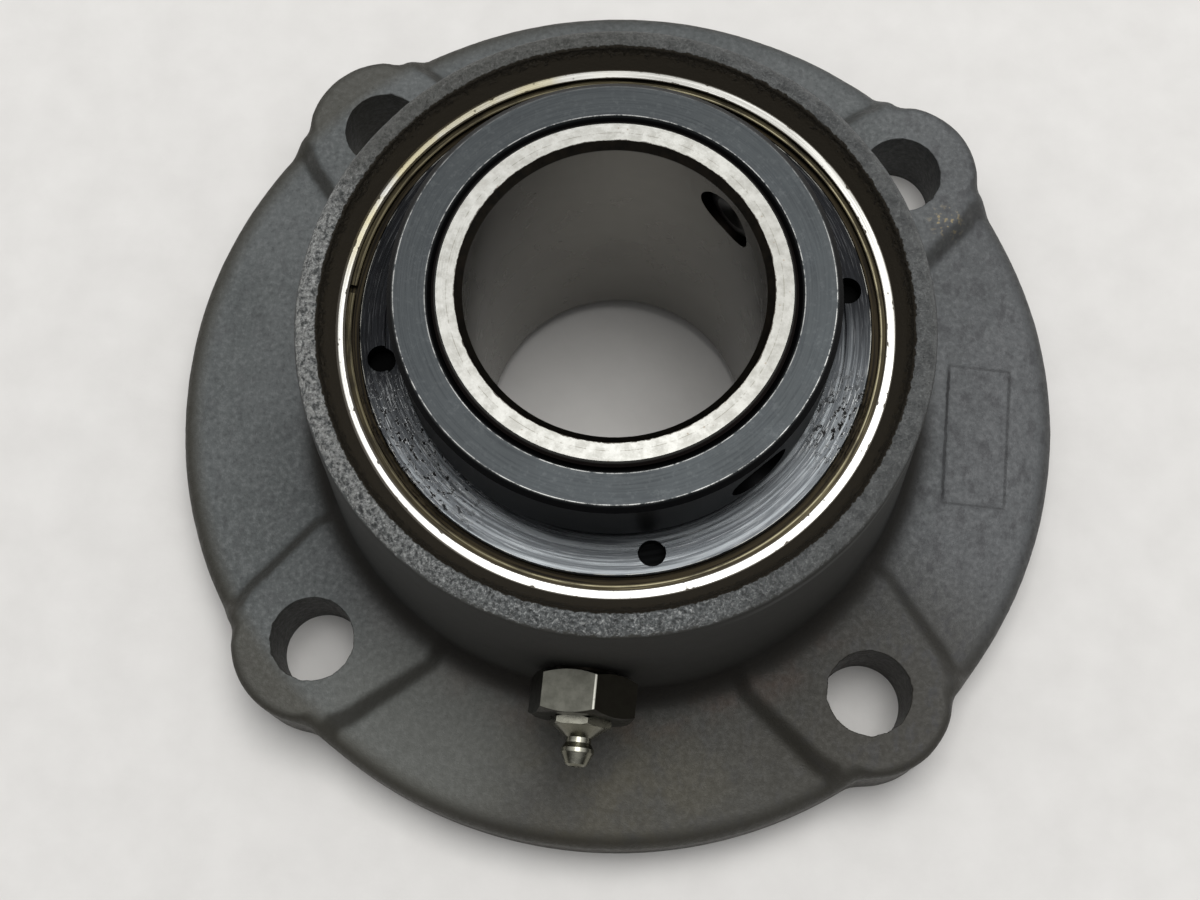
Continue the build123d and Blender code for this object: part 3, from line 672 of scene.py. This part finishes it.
def black_oxide_plate():
    """Oily black turned plate with fine rings, pits, scratches with painted glints at the chips'
    edges, a painted reflection and sheen on its near right, and blind holes painted near-black as
    shade.
    """
    g = Graph.of_material("black_oxide_plate")
    marks = g.turned(2.0, 2400.0, detail=5.0, roughness=0.7)
    fine_rings = g.turned(7.0, 4800.0, distortion=0.3)
    colour = g.mix(g.between(marks, 0.35, 0.75), (0.002, 0.0021, 0.0025), (0.006, 0.0065, 0.0075))
    lit_side = g.between(g.minus(g.times(g.x, 0.25), g.y), 0.0, 36 * MM)
    colour = g.mix(g.times(lit_side, 0.70), colour, (0.060, 0.065, 0.070))
    sheen = g.between(g.turned(1.3, 1300.0, detail=3.0), 0.44, 0.62)
    colour = g.mix(g.times(lit_side, sheen, 0.75), colour, (0.135, 0.145, 0.152))
    rings = g.times(g.between(fine_rings, 0.54, 0.66), g.between(lit_side, 0.0, 1.0, 0.15, 0.6))
    colour = g.mix(g.times(rings, 0.5), colour, (0.20, 0.205, 0.21))

    patch = g.larger(g.near(LEFT_PATCH, 9 * MM, 12 * MM), g.near(RIGHT_PATCH, 4 * MM, 9 * MM))
    chips = g.turned(34.0, 1500.0, detail=2.0, roughness=0.6)
    # painted glints along the chips' edges
    chip_edge_glint = g.times(g.between(chips, 0.555, 0.575), g.between(chips, 0.605, 0.590))
    broken = g.noise(300.0, detail=3.0)
    streaks = g.times(g.between(fine_rings, 0.52, 0.62), g.between(broken, 0.38, 0.52), 0.55)
    # real scratch streaks, with the painted glints at the chips' edges
    scratches_and_glints = g.times(g.larger(streaks, chip_edge_glint), patch)
    colour = g.mix(g.times(scratches_and_glints, 0.85), colour, (0.34, 0.35, 0.355))
    pits = g.times(g.between(chips, 0.590, 0.605), patch)
    colour = g.mix(pits, colour, (0.003, 0.003, 0.003))

    below = g.between(g.z, PLATE_TOP - 0.30 * MM, PLATE_TOP - 0.50 * MM)
    oil = g.mix(g.between(marks, 0.42, 0.58), (0.004, 0.003, 0.002), (0.022, 0.017, 0.009))
    colour = g.mix(g.times(g.between(g.r, *PLATE_STEP_R), below), colour, oil)
    ragged = g.between(g.noise(260.0, detail=3.0), 0.40, 0.60)
    edge = g.times(g.band(g.r, PLATE_STEP_LINE_R, 0.06 * MM, 0.08 * MM),
                   g.minus(1.0, below), ragged)
    colour = g.mix(g.times(edge, 0.5), colour, (0.24, 0.235, 0.21))
    # painted shade: surfaces deep in the blind holes are painted near-black
    deep = g.between(g.z, PLATE_TOP - 1.6 * MM, PLATE_TOP - 2.2 * MM)
    colour = g.mix(g.times(deep, 0.9), colour, (0.004, 0.004, 0.004))

    rough = g.blend(deep, g.between(marks, 0.3, 0.7, 0.22, 0.36), 0.8)
    rough = g.plus(rough, g.times(scratches_and_glints, 0.15))
    grain = g.bump(marks, 0.35, 0.06 * MM)
    grain = g.bump(g.minus(scratches_and_glints, pits), 0.5, 0.10 * MM, normal=grain)
    return g.surface(colour, rough, metallic=0.8, bump=grain, specular=0.1)


def brown_clip():
    """Oil-tempered spring steel: dark olive brown with one thin painted highlight line, brightest
    on the left.
    """
    g = Graph.of_material("retaining_ring_brown")
    cloud = g.noise(160.0)
    streaks = g.turned(4.0, 3400.0, detail=3.0)
    colour = g.mix(g.between(cloud, 0.3, 0.7), (0.006, 0.0048, 0.0026), (0.022, 0.0175, 0.0090))
    colour = g.mix(g.between(streaks, 0.50, 0.64, 0.0, 0.5), colour, (0.070, 0.060, 0.034))
    # painted highlight along the ring, brightest on the left
    highlight_line = g.times(g.band(g.r, CLIP_LINE_R, 0.05 * MM, 0.12 * MM),
                     g.between(cloud, 0.34, 0.60, 0.15, 0.75),
                     g.between(g.x, -35 * MM, 0.0, 0.3, 1.0))
    colour = g.mix(highlight_line, colour, (0.22, 0.20, 0.13))
    return g.surface(colour, g.between(cloud, 0.3, 0.7, 0.3, 0.45), metallic=0.85,
                     bump=g.bump(cloud, 0.2, 0.05 * MM), specular=0.25)


def plated_fitting(name, lit_flats, shaded_sides, rough_low, rough_high):
    """Plated steel of the grease fitting: upper flats painted lit, other sides painted in shade, a
    painted highlight on the upper corner and painted shade on the thread at the hub.
    """
    g = Graph.of_material(name)
    cloud = g.noise(420.0, detail=5.0, roughness=0.65)
    # painted light and shade: faces turned up take the lit colour, the rest the shaded one
    lit_top = g.between(g.upward(), 0.70, 0.93)
    tone = g.mix(lit_top, shaded_sides, lit_flats)
    colour = g.mix(g.between(cloud, 0.34, 0.66, 0.35, 0.0), tone, (0.03, 0.03, 0.022))
    off_axis = g.length(g.x, g.minus(g.z, CENTRE_Z))
    # painted highlight along the adapter's upper corner
    bright_edge = g.times(g.band(g.x, ADAPTER_CORNER_X, 0.10 * MM, 0.16 * MM), lit_top,
                   g.between(off_axis, *ADAPTER_CORNER_R),
                   g.between(cloud, 0.36, 0.50, 0.5, 1.0))
    colour = g.mix(bright_edge, colour, (0.80, 0.79, 0.70))
    # painted shadow on the thread in the gap at the hub's wall
    thread_shade = g.times(g.between(off_axis, *THREAD_R), g.between(g.y, *THREAD_Y))
    colour = g.mix(thread_shade, colour, (0.006, 0.005, 0.004))
    return brushed_metal(g, colour, g.between(cloud, 0.3, 0.7, rough_low, rough_high))


def zinc_steel(name, dark, light, rough_low, rough_high):
    g = Graph.of_material(name)
    cloud = g.noise(320.0, detail=5.0, roughness=0.6)
    colour = g.mix(g.between(cloud, 0.3, 0.7), dark, light)
    return brushed_metal(g, colour, g.between(cloud, 0.3, 0.7, rough_low, rough_high))


def brushed_metal(g, colour, rough):
    brushed = g.stretched(400.0, 5200.0, 5200.0, detail=3.0)
    return g.surface(colour, rough, metallic=1.0, bump=g.bump(brushed, 0.25, 0.05 * MM))


def seal_rubber():
    g = Graph.of_material("seal_rubber")
    fine = g.noise(1200.0, detail=3.0)
    colour = g.mix(g.between(fine, 0.3, 0.7), (0.010, 0.010, 0.011), (0.020, 0.020, 0.021))
    return g.surface(colour, g.between(fine, 0.3, 0.7, 0.45, 0.6),
                     bump=g.bump(fine, 0.3, 0.05 * MM))


def turned_brass():
    g = Graph.of_material("cage_brass")
    marks = g.turned(3.0, 3000.0, detail=3.0)
    colour = g.mix(g.between(marks, 0.3, 0.7), (0.62, 0.45, 0.18), (0.74, 0.57, 0.27))
    return g.surface(colour, g.between(marks, 0.3, 0.7, 0.28, 0.42), metallic=1.0,
                     bump=g.bump(marks, 0.3, 0.05 * MM))


# ---------------------------------------------------------------- the cast housing

def smooth_max(a, b, soft):
    """The larger of a and b, with a rounded inner corner."""
    h = np.clip(0.5 + 0.5 * (a - b) / soft, 0.0, 1.0)
    return b + (a - b) * h + soft * h * (1.0 - h)


def smooth_step(t):
    t = np.clip(t, 0.0, 1.0)
    return t * t * (3.0 - 2.0 * t)


def outline_radius(theta):
    """Plan outline of the flange and its four lugs."""
    radius = np.full_like(theta, FLANGE_R)
    for angle in LUG_ANGLES:
        off = np.angle(np.exp(1j * (theta - angle)))
        across = BOLT_CIRCLE_R * np.sin(off)
        reach = np.sqrt(np.maximum(LUG_R ** 2 - across ** 2, 0.0))
        lug = np.where(np.abs(off) < LUG_SPREAD, BOLT_CIRCLE_R * np.cos(off) + reach, 0.0)
        lug = np.where(np.abs(across) < LUG_R, lug, 0.0)
        radius = smooth_max(radius, lug, OUTLINE_SOFT)
    return radius


def pad_distance(x, y):
    """Distance outside the nearest pad's top outline; negative on the pad."""
    nearest = np.full_like(x, 1.0)
    for angle in LUG_ANGLES:
        along = x * math.cos(angle) + y * math.sin(angle)
        across = np.abs(y * math.cos(angle) - x * math.sin(angle))
        t = np.clip((along - HUB_TOP_R) / (BOLT_CIRCLE_R - HUB_TOP_R), 0.0, 1.0)
        strip = across - (PAD_HALF_IN + (PAD_HALF_OUT - PAD_HALF_IN) * t)
        lug = np.hypot(along - BOLT_CIRCLE_R, across) - PAD_HALF_OUT
        one = np.where(along > BOLT_CIRCLE_R, lug, strip)
        one = np.where(along > 0.0, one, 1.0)
        nearest = np.minimum(nearest, one)
    return nearest


def top_height(x, y):
    """Height of the flange's upper surface with its pads and the blank window."""
    slope = (FLANGE_HUB_Z - FLANGE_EDGE_Z) / (FLANGE_R - HUB_BASE_R)
    plain = FLANGE_EDGE_Z + slope * (FLANGE_R - np.hypot(x, y))
    side = 1.0 - smooth_step((pad_distance(x, y) + PAD_ROUND) / PAD_SIDE)
    window = smooth_step((WINDOW_HALF_X - np.abs(x - WINDOW_X)) / WINDOW_BORDER + 0.5)
    window = window * smooth_step((WINDOW_HALF_Y - np.abs(y)) / WINDOW_BORDER + 0.5)
    return plain + (PAD_TOP - plain) * side - WINDOW_DEPTH * window


def arc(centre_r, centre_z, radius, start, end, count):
    """Points of a meridian arc; every value may vary round the casting."""
    angles = np.radians(np.linspace(start, end, count))
    return [(centre_r + radius * math.cos(a), centre_z + radius * math.sin(a)) for a in angles]


def line(start, end, count):
    """Points between two ends, without the last one."""
    steps = [i / count for i in range(count)]
    return [(start[0] + (end[0] - start[0]) * t, start[1] + (end[1] - start[1]) * t)
            for t in steps]


def cast_rows(theta):
    """The cast side of the meridian, from the mouth over rim, hub and flange to the foot."""
    one = np.ones_like(theta)
    cos, sin = np.cos(theta), np.sin(theta)
    edge = outline_radius(theta)
    lug = smooth_step((edge - FLANGE_R) / LUG_BLEND)
    fillet = FLANGE_FILLET + (LUG_FILLET - FLANGE_FILLET) * lug

    def height_at(r):
        return top_height(r * cos, r * sin)

    mouth = MOUTH_FILLET
    rows = arc(MOUTH_R + mouth, HUB_TOP - mouth, mouth, 180, 90, MOUTH_ROWS)
    corner = HUB_EDGE_FILLET
    rows += line((MOUTH_R + mouth, HUB_TOP), (HUB_TOP_R - corner, HUB_TOP), 9)[1:]
    rows += arc(HUB_TOP_R - corner, HUB_TOP - corner, corner, 90, 0, 9)

    root = HUB_ROOT_FILLET
    root_r = HUB_BASE_R + root
    root_z = height_at(root_r * one)
    hub_slope = (HUB_BASE_R - HUB_TOP_R) / (HUB_TOP - FLANGE_HUB_Z)
    wall_end_z = root_z + root
    wall_end_r = HUB_BASE_R - (wall_end_z - FLANGE_HUB_Z) * hub_slope
    rows += line((HUB_TOP_R * one, (HUB_TOP - corner) * one), (wall_end_r, wall_end_z), 30)[1:]
    for a in np.radians(np.linspace(0, 90, 12)):
        r = wall_end_r + (root_r - wall_end_r) * (1 - math.cos(a))
        rows.append((r, root_z + root * (1 - math.sin(a))))

    edge_start = edge - fillet
    for t in np.linspace(0, 1, 44)[1:]:
        r = root_r + (edge_start - root_r) * t
        rows.append((r, height_at(r)))
    edge_z = height_at(edge_start)
    rows += arc(edge_start, edge_z - fillet, fillet, 90, 0, 10)[1:]
    rows += line((edge, edge_z - fillet), (edge, FOOT_EDGE * one), 9)[1:]
    rows += arc(edge - FOOT_EDGE, FOOT_EDGE * one, FOOT_EDGE, 0, -90, 4)
    return [(r * one, z * one) for r, z in rows]


def bored_rows(theta):
    """The machined side of the meridian, from the foot through the seat up to the mouth."""
    one = np.ones_like(theta)
    foot_r = outline_radius(theta) - FOOT_LAND
    rows = line((foot_r, 0 * one), (RECESS_R * one, 0 * one), 10)
    rows += [(RECESS_R, 0.0), (RECESS_R, RECESS_STEP), (RECESS_R, RECESS_DEPTH),
             (BEARING_R, RECESS_DEPTH), (BEARING_R, SNAP_LOW), (SNAP_R, SNAP_LOW),
             (SNAP_R, SNAP_HIGH), (BEARING_R, SNAP_HIGH)]
    rows += line((BEARING_R, SNAP_HIGH), (BEARING_R, BEARING_TOP), 4)[1:]
    rows += [(BEARING_R, BEARING_TOP), (LIP_R, BEARING_TOP)]
    rows += line((LIP_R, BEARING_TOP), (MOUTH_R, HUB_TOP - MOUTH_FILLET), 6)[1:]
    return [(r * one, z * one) for r, z in rows]


def unevenness(point):
    """Small waves and grain left by the sand mould."""
    wave = noise.noise(point * 45.0) * 0.16 + noise.noise(point * 150.0) * 0.07
    grain = noise.noise(point * 700.0) * 0.045
    return (wave + grain) * MM


def cast_housing():
    """Sweeps the meridian round the axis and makes its cast side uneven."""
    theta = np.arange(COLUMNS) * 2 * math.pi / COLUMNS
    cast, bored = cast_rows(theta), bored_rows(theta)
    rows = cast + bored
    radii = np.array([r for r, _ in rows])
    heights = np.array([z for _, z in rows])
    places = [radii * np.cos(theta), radii * np.sin(theta), heights]
    verts = np.stack(places, axis=-1).reshape(-1, 3)
    faces = []
    slots = []
    for i in range(len(rows)):
        j = (i + 1) % len(rows)
        slot = BORED if min(i, j) >= len(cast) else CAST
        for k in range(COLUMNS):
            m = (k + 1) % COLUMNS
            faces.append((i * COLUMNS + k, i * COLUMNS + m, j * COLUMNS + m, j * COLUMNS + k))
            slots.append(slot)
    mesh = bpy.data.meshes.new("cast_housing")
    mesh.from_pydata(verts.tolist(), [], faces)
    mesh.polygons.foreach_set("material_index", slots)
    mesh.update()
    normals = np.zeros(len(verts) * 3)
    mesh.vertices.foreach_get("normal", normals)
    normals = normals.reshape(-1, 3)
    moved = verts.copy()
    for index in range(len(cast) * COLUMNS):
        keep = min(1.0, max(0.0, (verts[index][2] - CALM_BELOW) / CALM_OVER))
        if index < MOUTH_ROWS * COLUMNS:
            keep = CALM_MOUTH
        moved[index] += normals[index] * (unevenness(Vector(verts[index])) * keep)
    mesh.vertices.foreach_set("co", moved.ravel())
    mesh.update()
    housing = bpy.data.objects.new("cast_housing", mesh)
    bpy.context.scene.collection.objects.link(housing)
    return housing


def lathe_mesh(name, outline, count, place):
    """A closed turned solid from (radius, height) corners that start and end on the axis."""
    bm = bmesh.new()
    rings = []
    for r, z in outline:
        if r == 0.0:
            rings.append([bm.verts.new((0.0, 0.0, z))])
        else:
            angles = [2 * math.pi * k / count for k in range(count)]
            ring = [bm.verts.new((r * math.cos(a), r * math.sin(a), z)) for a in angles]
            rings.append(ring)
    for lower, upper in zip(rings, rings[1:]):
        for k in range(count):
            m = (k + 1) % count
            corners = [lower[k % len(lower)], lower[m % len(lower)],
                       upper[m % len(upper)], upper[k % len(upper)]]
            bm.faces.new(list(dict.fromkeys(corners)))
    bm.transform(place)
    bmesh.ops.recalc_face_normals(bm, faces=bm.faces)
    mesh = bpy.data.meshes.new(name)
    bm.to_mesh(mesh)
    bm.free()
    return mesh


def hole_cutter(angle):
    """A drill for one bolt hole, with a slightly chipped broken edge at the top."""
    outline = [(0.0, DRILL_BELOW), (BOLT_HOLE_R, DRILL_BELOW),
               (BOLT_HOLE_R, PAD_TOP - BROKEN_EDGE)]
    for a in np.radians([22, 45, 68, 90]):
        outline.append((BOLT_HOLE_R + BROKEN_EDGE * (1 - math.cos(a)),
                        PAD_TOP - BROKEN_EDGE + BROKEN_EDGE * math.sin(a)))
    outline += [(BOLT_HOLE_R + BROKEN_EDGE, PAD_TOP + DRILL_ABOVE), (0.0, PAD_TOP + DRILL_ABOVE)]
    centre = Vector((BOLT_CIRCLE_R * math.cos(angle), BOLT_CIRCLE_R * math.sin(angle), 0.0))
    drill = lathe_mesh("drill", outline, DRILL_SIDES, Matrix.Translation(centre))
    for vertex in drill.vertices:
        out = vertex.co - centre
        if out.z > PAD_TOP - 2 * BROKEN_EDGE:
            chip = noise.noise(Vector((vertex.co.x, vertex.co.y, 0.0)) * 650.0)
            chipped = max(0.0, chip) * CHIP_DEPTH
            vertex.co += Vector((out.x, out.y, 0.0)).normalized() * chipped
    return drill


def grease_hole_cutter():
    """A drill for the hole that the grease adapter is screwed into."""
    start, end = GREASE_DRILL_Y
    outline = [(0.0, start), (GREASE_DRILL_R, start), (GREASE_DRILL_R, end), (0.0, end)]
    place = Matrix.Translation((0.0, 0.0, CENTRE_Z)) @ Matrix.Rotation(math.radians(90), 4, "X")
    return lathe_mesh("grease_drill", outline, GREASE_DRILL_SIDES, place)


def cut(target, meshes):
    for mesh in meshes:
        tool = bpy.data.objects.new("tool", mesh)
        bpy.context.scene.collection.objects.link(tool)
        modifier = target.modifiers.new("cut", "BOOLEAN")
        modifier.object = tool
        modifier.operation = "DIFFERENCE"
        modifier.solver = "MANIFOLD"
        bpy.context.view_layer.update()
        graph = bpy.context.evaluated_depsgraph_get()
        result = bpy.data.meshes.new_from_object(target.evaluated_get(graph))
        target.modifiers.clear()
        target.data = result
        bpy.data.objects.remove(tool)


def mark_drilled(obj):
    """Give the walls of the bolt holes their own material slot."""
    centres = [(BOLT_CIRCLE_R * math.cos(a), BOLT_CIRCLE_R * math.sin(a)) for a in LUG_ANGLES]
    for polygon in obj.data.polygons:
        x, y, _ = polygon.center
        away = min(math.hypot(x - cx, y - cy) for cx, cy in centres)
        if away < BOLT_HOLE_R * 1.01 and abs(polygon.normal.z) < 0.7:
            polygon.material_index = DRILLED


def smooth_shade(obj):
    for polygon in obj.data.polygons:
        polygon.use_smooth = True
    obj.data.set_sharp_from_angle(angle=math.radians(SHARP_ANGLE))


def build_housing():
    housing = cast_housing()
    cut(housing, [hole_cutter(a) for a in LUG_ANGLES] + [grease_hole_cutter()])
    mark_drilled(housing)
    smooth_shade(housing)
    housing.data.materials.clear()
    for material in (cast_iron(), machined_housing(), drilled_iron()):
        housing.data.materials.append(material)
    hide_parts("housing")
    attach(housing, "housing")


# ---------------------------------------------------------------- dressing the CAD nodes

def dress(node, material):
    for slot in frame["nodes"][node].material_slots:
        slot.material = material


def dress_bearing():
    plate = black_oxide_plate()
    clip = brown_clip()
    rubber = seal_rubber()
    brass = turned_brass()
    roller = zinc_steel("roller_steel", (0.62, 0.62, 0.61), (0.72, 0.72, 0.71), 0.12, 0.2)
    guide = zinc_steel("guide_steel", (0.4, 0.4, 0.39), (0.5, 0.5, 0.49), 0.25, 0.35)
    screw = zinc_steel("set_screw_steel", (0.022, 0.022, 0.024), (0.05, 0.05, 0.05), 0.3, 0.45)
    # each fitting gets a lit colour for its upper flats and a shaded one for its other sides
    adapter = plated_fitting("adapter_steel", (0.17, 0.168, 0.142), (0.018, 0.016, 0.012),
                             0.28, 0.40)
    nipple = plated_fitting("nipple_steel", (0.42, 0.41, 0.34), (0.17, 0.165, 0.13), 0.2, 0.32)
    for side in ("front", "rear"):
        dress("seal_plate_" + side, plate)
        dress("seal_lip_" + side, rubber)
        dress("retaining_ring_" + side, clip)
        dress("cage_" + side, brass)
        dress("rollers_" + side, roller)
    for letter in "ab":
        dress("set_screw_" + letter, screw)
    dress("housing_snap_ring", clip)
    dress("outer_ring", outer_ring_steel())
    dress("inner_ring", inner_ring_steel())
    dress("lock_collar", black_oxide_collar())
    dress("guide_ring", guide)
    dress("grease_adapter", adapter)
    dress("grease_nipple", nipple)
    dress("nipple_ball", nipple)
    dress("nipple_spring", clip)


add_camera()
add_sky()
add_lamp()
add_floor()
build_housing()
dress_bearing()
